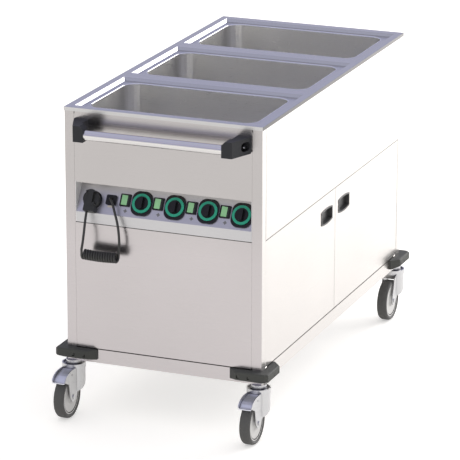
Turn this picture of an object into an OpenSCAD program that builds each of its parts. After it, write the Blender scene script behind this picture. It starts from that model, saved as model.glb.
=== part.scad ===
// Mobile heated serving trolley: three wells over a heated cupboard, on four swivel casters.
// Lengths are in millimetres. The control face looks along -Y, +X runs across it, +Z is up.
// The origin lies on the floor under the middle of the whole trolley.

/* [Overall] */
// Height of the top rim above the floor
total_h = 900; // [860:5:960]
// Width of the body across the control face
body_w = 588; // [580:4:640]
// Length of the body from the control face to the back
body_l = 1184; // [1176:4:1280]
// Depth of the seam over the doors below the rim
split_drop = 329.5; // [320:0.5:350]
// Thickness of the panels
sheet_t = 1.5; // [1:0.1:2]
// Width of the seams between panels
seam = 2; // [1.6:0.1:3]

/* [Body] */
// Side of the square corner posts
post_w = 28; // [24:1:34]
// Depth of the folded edges on the side panels
side_fold = 22; // [18:1:24]
// Depth of the folded edges on the end panels
end_fold = 32; // [28:1:34]
// Height of the deck between the wells and the cupboard
deck_h = 16; // [10:1:24]
// Height of the folded edge of the floor pan
pan_fold = 4; // [3:0.5:8]
// Width of the sealing rim round the cupboard's mouth
mouth_rim = 12; // [8:1:18]
// Height of the shelf above the cupboard's floor
shelf_rise = 178; // [120:2:230]
// Depth of the rails that carry the shelf
rail_d = 16; // [12:1:22]

/* [Top and wells] */
// Overhang of the rim past the body
rim_over = 2; // [2:0.5:4]
// Height of the rim's folded edge
rim_h = 10; // [8:0.5:14]
// Width of the rim along the pockets' ends, at the sides of the trolley
rim_side = 20; // [16:1:24]
// Width of the rim at the front and back
rim_end = 24; // [20:1:30]
// Width of the land between two pockets
land_w = 52; // [46:1:58]
// Depth of a pocket below the rim
pocket_drop = 8; // [6:0.5:9]
// Run of a pocket's sloped edge
pocket_run = 8; // [6:0.5:9]
// Width of the ledge that carries a pan's rim
ledge_w = 14; // [12:0.5:18]
// Depth of a well below the ledge
well_depth = 200; // [150:5:204]
// Corner radius of a well
well_r = 45; // [30:1:60]
// Radius at the bottom edge of a well
well_foot_r = 20; // [12:1:28]
// Wall thickness of a well
well_t = 1.2; // [0.8:0.1:2]
// Draft of a well's wall from its top to its foot
well_draft = 4; // [2:0.5:8]
// Width of the weld flange round a well
well_flange = 9; // [6:0.5:10]
// Thickness of the heating plates
heater_t = 10; // [6:1:14]

/* [Doors] */
// Thickness of a door
door_t = 22; // [18:1:22]
// Distance from a hinge pin to the door's outer face and edge
pin_inset = 4.5; // [4.4:0.1:4.8]
// Diameter of a hinge pin
pin_d = 4.4; // [3:0.2:4.6]
// Radius of a door's folded edges
edge_r = 1.5; // [1:0.1:2]
// Thickness of a door seal
seal_t = 4; // [3:0.2:4.4]
// Width of a door seal
seal_w = 9; // [7:0.5:12]
// Width of a recessed door pull
pull_w = 92; // [80:1:110]
// Height of the straight sides of a door pull
pull_h = 39; // [30:1:50]
// Rise of the arched edges of a door pull
pull_crown = 4.5; // [3:0.5:8]
// Depth of the finger cup
pull_d = 14; // [10:1:18]
// Distance from the door's free edge to the pull's middle
pull_in = 71; // [60:1:100]
// Depth of the pull's middle below the seam over the doors
pull_drop = 65.5; // [50:0.5:90]

/* [Controls] */
// Height of the strip under the sloped control panel
strip_h = 30; // [26:1:36]
// Height of the recess that holds the control panel
notch_h = 85.5; // [84:0.5:90]
// Depth of the recess at its top
notch_d = 51; // [48:0.5:52]
// Distance from the panel's end to the middle of the plug
plug_in = 47; // [44:0.5:52]
// Distance from the middle of the plug to the middle of the gland
gland_off = 54.5; // [52:0.5:60]
// Gap between the gland and the first switch
row_gap = 9.5; // [6:0.5:14]
// Distance from the last knob's plate to the panel's end
row_end = 6.3; // [4:0.1:12]
// Share of the pitch from knob to knob that a knob's black plate takes up
bezel_share = 0.614; // [0.6:0.001:0.63]
// Share of the pitch that a switch frame takes up
switch_share = 0.322; // [0.3:0.001:0.33]
// Share of the pitch from a switch's middle to the knob on its right
gap_share = 0.508; // [0.5:0.001:0.52]
// Height of the knobs up the slope
knob_v = 42; // [39:0.5:45]
// Height of a knob's grip above its dial
grip_h = 9; // [6:0.5:14]
// Diameter of a thermostat shaft
shaft_d = 6; // [5:0.2:7]
// Width of the coloured ring round a knob
ring_w = 7.5; // [6:0.5:8]
// Height of the black plate behind a knob
bezel_h = 70; // [66:0.5:72]
// Height of a switch frame
switch_h = 36; // [34:0.5:40]
// Tilt of a rocker to either side
rocker_tilt = 7; // [5:0.5:9]

/* [Handle] */
// Diameter of the push bar
bar_d = 28; // [24:0.5:32]
// Distance from the front panel to the bar's axis
bar_out = 62; // [55:1:80]
// Depth of the bar's axis below the rim
bar_drop = 57.5; // [50:0.5:70]
// Distance from the body's side to the clear part of the bar
bar_in = 89.5; // [84:0.5:100]
// Width of a bracket's head along the bar
head_w = 31; // [26:1:36]
// Width of a bracket's foot on the panel
foot_w = 41; // [34:1:46]
// Distance from a bracket's foot to the side of the body
foot_in = 31; // [30:1:40]
// Height of a bracket
bracket_h = 46; // [40:1:56]

/* [Chassis] */
// Side of the square chassis rail
rail_w = 40; // [36:1:44]
// Thickness of the chassis metal
chassis_t = 3; // [2:0.5:4]
// Height of the corner bumpers
bumper_h = 29; // [24:1:34]
// Thickness of the bumpers
bumper_t = 28; // [20:1:34]
// Length of a bumper's arm from the corner
bumper_arm = 92; // [86:1:120]
// Run of the tapered end of a bumper's arm
bumper_run = 24; // [16:1:30]

/* [Casters] */
// Diameter of the wheels
wheel_d = 125; // [121:1:126]
// Height of a caster under the chassis
caster_h = 160; // [159:1:168]
// Distance from the swivel axis to the wheel's axle
trail = 50; // [48:1:52]
// Distance from the body's faces to the swivel axis
caster_in = 12.5; // [12.5:0.5:19]
// Width of a tyre
tyre_w = 32; // [28:1:34]
// Thickness of a tyre
tyre_t = 12; // [9:0.5:15]
// Width between the fork's legs
fork_gap = 36; // [35:0.5:38]
// Thickness of the fork's metal
fork_t = 2.5; // [2:0.25:3]
// Diameter of the swivel head
bell_d = 68; // [66:1:70]
// Diameter of an axle
axle_d = 12; // [10:0.5:14]

/* [Lead] */
// Diameter of the supply lead
cord_d = 7; // [6:0.2:7.2]
// Mean diameter of the curls
curl_d = 24; // [20:0.5:26]
// Diameter of the plug's head
plug_d = 48; // [42:1:50]
// Height of the plug's head off its socket
plug_h = 25; // [20:1:30]

/* [Hidden] */
$fn = 48;

// Overrun of cuts, and the thickness of the films that hulls stretch between
over = 1;
film = 0.01;
// Radial clearance of running fits, clearance of parts that pass each other, and of light fits
run_fit = 0.05;
pass_gap = 0.5;
light_fit = 0.3;

// Levels and half sizes of the body
half_w = body_w / 2;
half_l = body_l / 2;
chassis_z = caster_h;
floor_z = caster_h + rail_w;
split_z = total_h - split_drop;
lower_top = split_z - seam / 2;
upper_low = split_z + seam / 2;
panel_x = half_w - post_w - seam;
panel_y = half_l - post_w - seam;
lower_z = floor_z + 1.5 * seam;
rim_z = total_h - sheet_t;
ledge_z = total_h - pocket_drop;
fold_top = ledge_z - sheet_t - seam;
deck_top = upper_low + deck_h;

// Sizes of the pockets and wells
pocket_w = body_w - 2 * rim_side;
pocket_l = (body_l - 2 * rim_end - 2 * land_w) / 3;
well_pitch = pocket_l + land_w;
pocket_floor_w = pocket_w - 2 * pocket_run;
pocket_floor_l = pocket_l - 2 * pocket_run;
well_w = pocket_floor_w - 2 * ledge_w;
well_l = pocket_floor_l - 2 * ledge_w;
well_foot_z = ledge_z - well_depth;
slope_skin = sheet_t * sqrt(2) - sheet_t;

// Cupboard
liner_x = half_w - side_fold;
liner_y = half_l - end_fold;
liner_z = floor_z + pan_fold;
mouth_x = half_w - door_t - seal_t;
shelf_z = liner_z + shelf_rise;

// Doors, each hung on pins by its outer edge
door_y0 = seam * 0.75;
door_y1 = panel_y;
door_x0 = half_w - door_t;
door_top = lower_top;
pin_x = half_w - pin_inset;
pin_y = panel_y - pin_inset;
hinge_plate_t = 2.5;
hinge_plate_w = 24;
plate_z = upper_low + sheet_t;
pull_y = door_y0 + pull_in;
pull_z = split_z - pull_drop;
pull_lip = 1.5;

// Recess and slope of the control panel
notch_z0 = upper_low + strip_h;
notch_z1 = notch_z0 + notch_h;
slope = atan2(notch_d, notch_h);
slope_l = sqrt(notch_d * notch_d + notch_h * notch_h);
lap = 12;

// Row of controls: plug, gland, then four switches and knobs that share what is left
gland_w = 31;
plug_x = plug_in - panel_x;
gland_x = plug_x + gland_off;
row_from = gland_x + gland_w / 2 + row_gap;
row_to = panel_x - row_end;
knob_pitch = (row_to - row_from) / (3 + gap_share + switch_share / 2 + bezel_share / 2);
switch_gap = gap_share * knob_pitch;
switch_w = switch_share * knob_pitch;
bezel_w = bezel_share * knob_pitch;
knob_xs = [for (i = [0:3]) row_from + switch_w / 2 + switch_gap + i * knob_pitch];
ring_in = 3;
ring_d = bezel_w - 2 * ring_in;
knob_d = ring_d - 2 * (ring_w + pass_gap);
plate_t = 4;
ring_h = 3;
plate_r = 22;
dial_h = 3.5;
grip_w = 12;
shaft_l = 26;
stat_w = 36;
stat_h = 42;
stat_d = 28;
rocker_in = 5;
rocker_w = switch_w - 2 * rocker_in;
rocker_h = 28;
rocker_axis = -2;
rocker_low = -8;
rocker_top = 5;
rocker_dip = 2;
ridge_share = 0.22;
frame_t = 3;
frame_back = 20;
frame_wall = 2.5;
stub_d = 3;
stub_l = 1.5;
switch_rise = 4.5;
switch_body_w = switch_w - 2 * frame_wall;
switch_body_h = switch_h - 1.2 * frame_wall;
rocker_room = 2 * pass_gap + rocker_w + 2 * (rocker_top - rocker_axis) * sin(rocker_tilt);

// Push bar
bar_z = total_h - bar_drop;
bar_half = half_w - bar_in;
bar_wall = 2;
seat_l = 20;
bracket_wall = 4;
bracket_foot_t = 6;
bracket_chamfer = 11;
head_lip = 2;
head_back = 3;
bracket_low = bar_z - bar_d / 2 - bracket_wall;
head_front = bar_out + bar_d / 2 + head_lip;

// Chassis
cross_share = 0.338;
chassis_ys = [-cross_share * half_l, cross_share * half_l];
gusset_w = 84;
gusset_t = 5;
bumper_z = floor_z - bumper_h;
bumper_bevel = 3;
bumper_tuck = 13;
bumper_tuck_h = 7;
bumper_blunt = 5.5;
bumper_chamfer = 8;
slot_shares = [0.326, 0.674];
slot_w = 5;
slot_h = 9;
slot_d = 6;

// Casters
wheel_r = wheel_d / 2;
caster_x = half_w - caster_in;
caster_y = half_l - caster_in;
rim_r = wheel_r - tyre_t;
king_d = 12;
king_head_d = 22;
king_head_t = 4;
mount_d = 44;
mount_t = 9.5;
bolt_rise = 22;
nut_d = 18;
nut_t = 10;
bell_top = caster_h - mount_t - light_fit;
bell_h = 14;
bell_low = bell_top - bell_h;
race_in = 24;
race_out = 30;
race_t = 3;
web_t = 4;
leg_x = fork_gap / 2;
skirt_r = 32.5;
skirt_front = 26;
boss_r = 15;
boss_from = -35;
boss_to = -160;

// Side views of the forks, in shares of the wheel's radius forward of the axle and of the rise
// from the axle to the swivel head; the skirt's edge in shares of its own radius and that rise
head_rise = bell_low - wheel_r;
cheek_rear = 20;
cheek_foot_share = 0.129;
skirt_shares = [[-0.8, 0.095], [-0.708, 0.115], [-0.308, 0.197], [0.154, 0.346], [0.4615, 0.509],
    [1.03, 0.767]];
braked_shares = [[-0.3, -0.02], [-0.336, 0.08], [-0.464, 0.61], [-0.904, 0.8005],
    [-0.88, 0.8684], [-0.808, 0.943], [-0.688, 1.0109], [-0.512, 1.0651], [-0.288, 1.0991],
    [0, 1.1058], [0.32, 1.0855], [0.344, 1.0543]];
plain_shares = [[-0.253, 0.027], [0.064, 0.9498], [0.336, 1.0543]];
web_shares = [[0.064, 0.9362], [0.08, 0.9023], [0.32, 0.9837], [0.32, 1.0271]];
peep_share = [-0.144, 0.9294];
peep_d = 5;
hub_half = leg_x - pass_gap;
hub_r = 14;
disc_half = 12;
rim_half = 13;
groove_w = 1.6;
rivet_d = 14;
rivet_t = 2.5;

// Brake pedal: a strip over the wheel, between the fork's cheeks, with a lip at its end and a
// brake block under it; its side view is placed as the tops of the cheeks are
lining_gap = 6.2;
lining_t = 5;
lining_from = 108;
lining_to = 124;
lining_in = 2;
strip_side = 1;
pedal_shares = [[0.2432, 0.9824], [0.216, 1.0448], [0.096, 1.0312], [-0.224, 1.0041],
    [-0.48, 0.943], [-0.64, 0.882], [-0.752, 0.8005], [-0.816, 0.7734], [-0.896, 0.7761],
    [-0.992, 0.8005], [-0.992, 0.7639], [-0.896, 0.7368], [-0.808, 0.7286], [-0.7248, 0.7558],
    [-0.616, 0.844], [-0.464, 0.9023], [-0.216, 0.962], [0.096, 0.9783], [0.192, 0.9322]];
strip_half = leg_x - strip_side;
pedal_pin_d = 5;
pedal_hub_d = 9;
pedal_y = -24;
pedal_z = bell_low - pedal_hub_d / 2 - strip_side;

// The whole trolley is centred on its outermost points
front_reach = caster_y + trail + wheel_r;
rear_reach = half_l + bumper_t;
middle_y = (front_reach - rear_reach) / 2;

// Plug, its parking socket and the gland
plug_v = 37;
socket_d = 52;
socket_t = 4;
socket_back_d = 39;
socket_back = 24;
plug_pin_d = 4.8;
plug_pin_l = 17;
plug_pin_gap = 19;
neck_w = 30;
neck_low = -1.5;
neck_off = 16;
outlet_in = 7;
gland_v = 42;
gland_h = 29;
gland_t = 6;
relief_d = 12;
relief_l = 3;

// Lead. Its free stretches pass through points chosen by hand: across from the middle of the
// plug, out from the front panel, and up from the foot of the slope
curl_turns = 13.5;
curl_steps = 8;
curl_from = [-7, 40, -109.5];
curl_to = [95, 40, -109.5];
curl_sag = 2;
curl_end = 10;
left_route = [
    [-6.5, 25, -13.5], [-5.8, 32, -30.5], [-5.2, 39, -48.5], [-4.9, 45, -64.5],
    [-5.5, 49.5, -79.5]
];
right_route = [
    [96.6, 28, -83.5], [96.8, 27, -72.5], [94.8, 24, -52.5], [91.3, 20.5, -32.5],
    [87.3, 17.7, -16.5], [82.6, 15, -2], [78, 12.5, 10.5], [73.4, 9.5, 22.5],
    [69.7, 7, 31.5], [66, 4, 39.6], [62.5, 2.2, 42.7], [59, -0.7, 44.8],
    [56, -4.3, 45.4]
];
tube_sides = 8;
curl_sides = 6;

// Colours
steel = [0.78, 0.77, 0.76];
steel_top = [0.66, 0.66, 0.70];
steel_well = [0.55, 0.55, 0.54];
zinc = [0.80, 0.81, 0.83];
black = [0.13, 0.13, 0.14];
dark_grey = [0.29, 0.30, 0.30];
tyre_grey = [0.33, 0.33, 0.33];
disc_grey = [0.78, 0.78, 0.79];
green = [0.16, 0.66, 0.50];
pale_green = [0.56, 0.85, 0.62];
chrome_bar = [0.80, 0.80, 0.82];
heater_red = [0.62, 0.45, 0.36];
cream = [0.86, 0.84, 0.78];

// Every sub-part is drawn from the middle of the body and set over the trolley's own middle
module place() translate([0, middle_y, 0]) children();

// Box between two corners, given axis by axis
module span(x, y, z)
    translate([x[0], y[0], z[0]]) cube([x[1] - x[0], y[1] - y[0], z[1] - z[0]]);

// Rectangle with round corners, from true circles
module round_rect(w, l, r) {
    square([w - 2 * r, l], center = true);
    square([w, l - 2 * r], center = true);
    for (x = [-1, 1], y = [-1, 1]) translate([x * (w / 2 - r), y * (l / 2 - r)]) circle(r);
}

// Rod along an axis through the origin, between two stations
module rod_x(d, x) translate([x[0], 0, 0]) rotate([0, 90, 0]) cylinder(d = d, h = x[1] - x[0]);
module rod_y(d, y) translate([0, y[0], 0]) rotate([-90, 0, 0]) cylinder(d = d, h = y[1] - y[0]);
module rod_z(d, z) translate([0, 0, z[0]]) cylinder(d = d, h = z[1] - z[0]);

// Panel with folded edges: its outer face lies on the plane z = 0 and the folds run behind it
module tray(w, h, fold) difference() {
    translate([-w / 2, 0, -fold]) cube([w, h, fold]);
    translate([-w / 2 + sheet_t, sheet_t, -fold - over])
        cube([w - 2 * sheet_t, h - 2 * sheet_t, fold - sheet_t + over]);
}

// Frames on the four sides of the body, with z pointing outwards and y up
module on_front() translate([0, -half_l, 0]) rotate([90, 0, 0]) children();
module on_rear() translate([0, half_l, 0]) rotate([90, 0, 180]) children();
module on_left() translate([-half_w, 0, 0]) rotate([90, 0, -90]) children();
module on_right() translate([half_w, 0, 0]) rotate([90, 0, 90]) children();

// Frame on the sloped control panel, with y up the slope and z out of it
module on_slope(x, v)
    translate([0, -half_l, notch_z0]) rotate([90 - slope, 0, 0]) translate([x, v, 0]) children();

// Chassis: a ring of open rails, two cross rails and four corner plates for the casters
module chassis_ring() difference() {
    span([-half_w, half_w], [-half_l, half_l], [chassis_z, floor_z]);
    span([rail_w - half_w, half_w - rail_w], [rail_w - half_l, half_l - rail_w],
        [chassis_z - over, floor_z + over]);
    span([chassis_t - half_w, half_w - chassis_t], [chassis_t - half_l, half_l - chassis_t],
        [chassis_z + chassis_t, floor_z - chassis_t]);
}

module cross_rail(y) difference() {
    span([rail_w - half_w, half_w - rail_w], [y - rail_w / 2, y + rail_w / 2],
        [chassis_z, floor_z]);
    span([rail_w - half_w - over, half_w - rail_w + over],
        [y - rail_w / 2 + chassis_t, y + rail_w / 2 - chassis_t],
        [chassis_z - over, floor_z - chassis_t]);
}

module chassis_frame() place() color(steel) difference() {
    union() {
        chassis_ring();
        for (y = chassis_ys) cross_rail(y);
        for (x = [-1, 1], y = [-1, 1]) scale([x, y, 1])
            span([half_w - gusset_w, half_w - chassis_t], [half_l - gusset_w, half_l - chassis_t],
                [chassis_z + chassis_t, chassis_z + chassis_t + gusset_t]);
    }
    for (x = [-1, 1], y = [-1, 1]) translate([x * caster_x, y * caster_y, 0])
        rod_z(king_d + 2 * pass_gap, [chassis_z - over, chassis_z + chassis_t + gusset_t + over]);
}

// Floor pan that closes the body over the chassis and carries the cupboard
module base_panel() place() color(steel) difference() {
    span([-panel_x, panel_x], [-liner_y, liner_y], [floor_z, liner_z]);
    span([sheet_t - panel_x, panel_x - sheet_t], [sheet_t - liner_y, liner_y - sheet_t],
        [floor_z + sheet_t, liner_z + over]);
}

module corner_posts() place() color(steel)
    for (x = [-1, 1], y = [-1, 1]) scale([x, y, 1]) difference() {
        span([half_w - post_w, half_w], [half_l - post_w, half_l],
            [floor_z, ledge_z - sheet_t]);
        span([half_w - post_w + sheet_t, half_w - sheet_t],
            [half_l - post_w + sheet_t, half_l - sheet_t],
            [floor_z - over, ledge_z]);
    }

// A side or end panel: a tray with its skin run on up to the rim
module tall_panel(w, low, fold) {
    translate([0, low, 0]) tray(w, fold_top - low, fold);
    translate([-w / 2, fold_top - sheet_t, -sheet_t]) cube([w, rim_z - fold_top + sheet_t, sheet_t]);
}

module left_panel() place() color(steel) on_left() tall_panel(2 * panel_y, lower_z, side_fold);
module right_upper_panel() place() color(steel) difference() {
    on_right() tall_panel(2 * panel_y, upper_low, side_fold);
    for (y = [-1, 1]) translate([pin_x, y * pin_y, 0])
        rod_z(pin_d + 2 * pass_gap, [upper_low - over, plate_z + over]);
}
module rear_panel() place() color(steel) on_rear() tall_panel(2 * panel_x, lower_z, end_fold);
module front_lower_panel() place() color(steel)
    on_front() translate([0, lower_z, 0]) tray(2 * panel_x, lower_top - lower_z, end_fold);

// Front panel over the controls, with a soffit that roofs the recess
module front_upper_panel() place() color(steel) {
    span([-panel_x, panel_x], [-half_l, sheet_t - half_l], [notch_z1, rim_z]);
    span([-panel_x, panel_x], [-half_l, notch_d + lap - half_l], [notch_z1, notch_z1 + sheet_t]);
    for (x = [-1, 1]) scale([x, 1, 1])
        span([panel_x - sheet_t, panel_x], [-half_l, side_fold - half_l], [notch_z1, fold_top]);
}

// Section of the control panel in the plane of y and z: the line of its two bends, set back by
// a depth behind the face
function bend_line(t) = [
    [t - half_l, notch_z0 - t * tan(slope / 2)],
    [notch_d - half_l + t * tan(45 - slope / 2), notch_z1 - t]
];

// Round hole through the control panel
module slope_hole(x, v, d) on_slope(x, v) rod_z(d, [-sheet_t - over, over]);

// Control panel: strip, slope and top lap in one bent sheet, and the cheeks of the recess
module control_panel() place() color(steel_top) difference() {
    union() {
        translate([-panel_x, 0, 0]) rotate([90, 0, 90]) linear_extrude(2 * panel_x)
            polygon(concat(
                [[end_fold - half_l, upper_low], [-half_l, upper_low]], bend_line(0),
                [[notch_d + lap - half_l, notch_z1], [notch_d + lap - half_l, notch_z1 - sheet_t]],
                [bend_line(sheet_t)[1], bend_line(sheet_t)[0]],
                [[sheet_t - half_l, upper_low + sheet_t],
                 [end_fold - half_l, upper_low + sheet_t]]));
        for (x = [-panel_x, panel_x - sheet_t]) translate([x, 0, 0])
            rotate([90, 0, 90]) linear_extrude(sheet_t) polygon(concat(
                [[-half_l, bend_line(sheet_t / 2)[0][1]]], bend_line(sheet_t / 2),
                [[bend_line(sheet_t / 2)[1][0], notch_z1], [-half_l, notch_z1]]));
    }
    for (x = knob_xs) slope_hole(x, knob_v, shaft_d + 2 * pass_gap);
    for (x = knob_xs) on_slope(x - switch_gap, knob_v + switch_rise)
        translate([0, 0, -sheet_t - over]) linear_extrude(sheet_t + 2 * over)
            square([switch_body_w + pass_gap, switch_body_h + pass_gap], center = true);
    slope_hole(plug_x, plug_v, socket_back_d + pass_gap);
    slope_hole(gland_x, gland_v, relief_d + pass_gap);
}

// Block with sloped sides, from a floor size up to a rim size
module tapered_block(w, l, grow, h)
    linear_extrude(height = h, scale = [(w + 2 * grow) / w, (l + 2 * grow) / l], slices = 1)
        square([w, l], center = true);

module at_wells() for (i = [-1:1]) translate([0, i * well_pitch, 0]) children();

// Top: flat rim with a folded edge, three sunk pockets and their ledges
module top_frame() place() color(steel_top) {
    rate = pocket_run / pocket_drop;
    difference() {
        union() {
            span([-half_w - rim_over, half_w + rim_over], [-half_l - rim_over, half_l + rim_over],
                [rim_z, total_h]);
            difference() {
                span([-half_w - rim_over, half_w + rim_over],
                    [-half_l - rim_over, half_l + rim_over], [total_h - rim_h, rim_z]);
                span([sheet_t - half_w - rim_over, half_w + rim_over - sheet_t],
                    [sheet_t - half_l - rim_over, half_l + rim_over - sheet_t],
                    [total_h - rim_h - over, rim_z]);
            }
            at_wells() translate([0, 0, ledge_z - sheet_t])
                tapered_block(pocket_floor_w + 2 * slope_skin, pocket_floor_l + 2 * slope_skin,
                    pocket_drop * rate, pocket_drop);
        }
        at_wells() translate([0, 0, ledge_z])
            tapered_block(pocket_floor_w, pocket_floor_l, (pocket_drop + over) * rate,
                pocket_drop + over);
        at_wells() translate([0, 0, ledge_z - sheet_t - over])
            linear_extrude(sheet_t + 2 * over) round_rect(well_w, well_l, well_r);
    }
}

// Layer of a well: a film of its outline at a height above its foot, drawn in by an inset
module well_layer(inset, z) translate([0, 0, z]) linear_extrude(film)
    round_rect(well_w - 2 * inset, well_l - 2 * inset, well_r - inset / 2, $fn = 32);

// Solid of a well with drafted walls and a round foot, grown by the wall outside
module well_block(grow, top) hull() {
    for (a = [0:22.5:90])
        well_layer(well_draft + well_foot_r * (1 - sin(a)) - grow,
            well_foot_r * (1 - cos(a)) - grow);
    well_layer(-grow, top);
}

module well(i) place() color(steel_well) translate([0, i * well_pitch, well_foot_z + well_t])
    difference() {
        rise = well_depth - sheet_t - well_t;
        union() {
            well_block(well_t, rise - film);
            translate([0, 0, rise - sheet_t]) linear_extrude(sheet_t)
                round_rect(well_w + 2 * well_flange, well_l + 2 * well_flange,
                    well_r + well_flange);
        }
        well_block(0, rise + over);
    }

module well_front() well(-1);
module well_middle() well(0);
module well_rear() well(1);

// Heating plates: one under each well and one on the cupboard's floor
module heaters() place() color(heater_red) {
    heater_w = well_w - 2 * well_r;
    heater_l = well_l - 2 * well_r;
    at_wells() translate([0, 0, well_foot_z - heater_t]) linear_extrude(heater_t)
        round_rect(heater_w, heater_l, heater_t);
    translate([0, 0, liner_z + sheet_t]) linear_extrude(heater_t)
        round_rect(heater_w, well_pitch, heater_t);
}

// Thermostats behind the control panel, and the terminal box on the deck
module thermostats() place() color(cream) {
    for (x = knob_xs) on_slope(x, knob_v) translate([0, 0, -sheet_t]) difference() {
        translate([-stat_w / 2, -stat_h / 2, -stat_d]) cube([stat_w, stat_h, stat_d]);
        rod_z(shaft_d + 2 * run_fit, [-stat_d + frame_wall, over]);
    }
    translate([gland_x, stat_h - half_l + 2 * stat_w, deck_top]) linear_extrude(2 * stat_d)
        round_rect(3 * stat_w, 2 * stat_h, frame_wall);
}

module middle_deck() place() color(steel) difference() {
    span([-liner_x, liner_x], [-liner_y, liner_y], [upper_low, deck_top]);
    span([sheet_t - liner_x, liner_x - sheet_t], [sheet_t - liner_y, liner_y - sheet_t],
        [upper_low - over, deck_top - sheet_t]);
}

// Cupboard liner: a box open to +X, with a sealing rim round its mouth and rails for the shelf
module cupboard_liner() place() color(steel) {
    difference() {
        span([-liner_x, mouth_x], [-liner_y, liner_y], [liner_z, upper_low]);
        span([sheet_t - liner_x, mouth_x - sheet_t], [sheet_t - liner_y, liner_y - sheet_t],
            [liner_z + sheet_t, upper_low - sheet_t]);
        span([mouth_x - sheet_t - over, mouth_x + over], [mouth_rim - liner_y, liner_y - mouth_rim],
            [liner_z + mouth_rim, upper_low - mouth_rim]);
    }
    for (y = [-1, 1]) scale([1, y, 1])
        span([sheet_t - liner_x, mouth_x - sheet_t], [liner_y - rail_d, liner_y - sheet_t],
            [shelf_z - sheet_t, shelf_z]);
}

// Shelf: a sheet with folded edges and rows of slots that let warm air rise
module shelf() place() color(steel) {
    shelf_y = liner_y - sheet_t - seam;
    x0 = 2 * seam - liner_x;
    x1 = mouth_x - mouth_rim;
    slots_x = 6;
    slots_y = 10;
    slot_share = 0.6;
    difference() {
        span([x0, x1], [-shelf_y, shelf_y], [shelf_z, shelf_z + rail_d]);
        span([x0 + sheet_t, x1 - sheet_t], [sheet_t - shelf_y, shelf_y - sheet_t],
            [shelf_z + sheet_t, shelf_z + rail_d + over]);
        for (i = [0:slots_x - 1], j = [0:slots_y - 1])
            translate([x0 + (x1 - x0) * (i + 0.5) / slots_x,
                shelf_y * (2 * j + 1 - slots_y) / (slots_y + 1), shelf_z - over])
                linear_extrude(sheet_t + 2 * over)
                    square([slot_share * (x1 - x0) / slots_x, rail_d / 2], center = true);
    }
}

// Outline of a door pull: straight sides and arched top and bottom, drawn in by an inset
function arch_radius(w, rise) = (w * w / 4 + rise * rise) / (2 * rise);
module pull_outline(inset) {
    w = pull_w - 2 * inset;
    r = arch_radius(pull_w, pull_crown) - inset;
    off = arch_radius(pull_w, pull_crown) - pull_crown - pull_h / 2;
    intersection() {
        square([w, pull_h + 4 * pull_crown], center = true);
        translate([0, -off]) circle(r, $fn = 128);
        translate([0, off]) circle(r, $fn = 128);
    }
}

// Plan of a door, with its outer edges rounded
module leaf_plan() {
    translate([door_x0, door_y0]) square([door_t - edge_r, door_y1 - door_y0]);
    translate([door_x0, door_y0 + edge_r]) square([door_t, door_y1 - door_y0 - 2 * edge_r]);
    for (y = [door_y0 + edge_r, door_y1 - edge_r]) translate([half_w - edge_r, y]) circle(edge_r);
}

// One door as a hollow leaf with its two hinge pins; side is -1 at the front, 1 at the rear
module door(side) place() color(steel) scale([1, side, 1]) {
    difference() {
        translate([0, 0, lower_z]) linear_extrude(door_top - lower_z) leaf_plan();
        span([door_x0 + sheet_t, half_w - sheet_t], [door_y0 + sheet_t, door_y1 - 2 * pin_inset],
            [lower_z + 2 * pin_inset, door_top - 2 * pin_inset]);
        translate([half_w, pull_y, pull_z]) rotate([90, 0, 90])
            translate([0, 0, -sheet_t - over]) linear_extrude(sheet_t + 2 * over)
                pull_outline(sheet_t - light_fit);
    }
    translate([pin_x, pin_y, 0]) rod_z(pin_d, [door_top - over, plate_z + hinge_plate_t]);
    translate([pin_x, pin_y, 0]) rod_z(pin_d, [floor_z + light_fit, lower_z + over]);
}

module door_front() door(-1);
module door_rear() door(1);

// Seal round the inner face of a door
module door_seal(side) place() color(black) scale([1, side, 1]) difference() {
    y = [door_y0 + seam, liner_y - sheet_t];
    z = [liner_z + sheet_t, door_top - sheet_t];
    span([mouth_x + light_fit, door_x0], y, z);
    span([mouth_x - over, door_x0 + over], [y[0] + seal_w, y[1] - seal_w],
        [z[0] + seal_w, z[1] - seal_w]);
}

module door_front_seal() door_seal(-1);
module door_rear_seal() door_seal(1);

// Recessed pull: a flange on the skin and a finger cup behind it
module door_pull(side) place() color(dark_grey) scale([1, side, 1])
    translate([half_w, pull_y, pull_z]) rotate([90, 0, 90]) difference() {
        union() {
            linear_extrude(pull_lip) pull_outline(0);
            translate([0, 0, -pull_d]) linear_extrude(pull_d + pull_lip)
                pull_outline(sheet_t);
        }
        translate([0, 0, sheet_t - pull_d]) linear_extrude(pull_d + pull_lip)
            pull_outline(2 * sheet_t + pull_lip);
    }

module door_front_pull() door_pull(-1);
module door_rear_pull() door_pull(1);

// Hinge plates over and under each door, with the bores that the pins turn in
module door_hinges() place() color(zinc) for (side = [-1, 1]) scale([1, side, 1]) {
    for (z = [[plate_z, plate_z + hinge_plate_t], [floor_z, floor_z + hinge_plate_t]])
        difference() {
            span([half_w - side_fold, half_w - sheet_t],
                [pin_y - hinge_plate_w / 2, pin_y + pin_inset - sheet_t], z);
            translate([pin_x, pin_y, 0])
                rod_z(pin_d + 2 * run_fit, [z[0] - over, z[1] + over]);
        }
}

// Magnetic catches under the cupboard's roof, one for each door
module door_catches() place() color(dark_grey) for (y = [-1, 1]) scale([1, y, 1])
    span([mouth_x - sheet_t - mouth_rim * 2, mouth_x - sheet_t], [rail_d, 3 * rail_d],
        [upper_low - sheet_t - mouth_rim, upper_low - sheet_t]);

module handle_bar() place() color(chrome_bar) translate([0, -half_l - bar_out, bar_z])
    difference() {
        rod_x(bar_d, [-bar_half - seat_l, bar_half + seat_l]);
        rod_x(bar_d - 2 * bar_wall, [-bar_half - seat_l - over, bar_half + seat_l + over]);
    }

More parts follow.
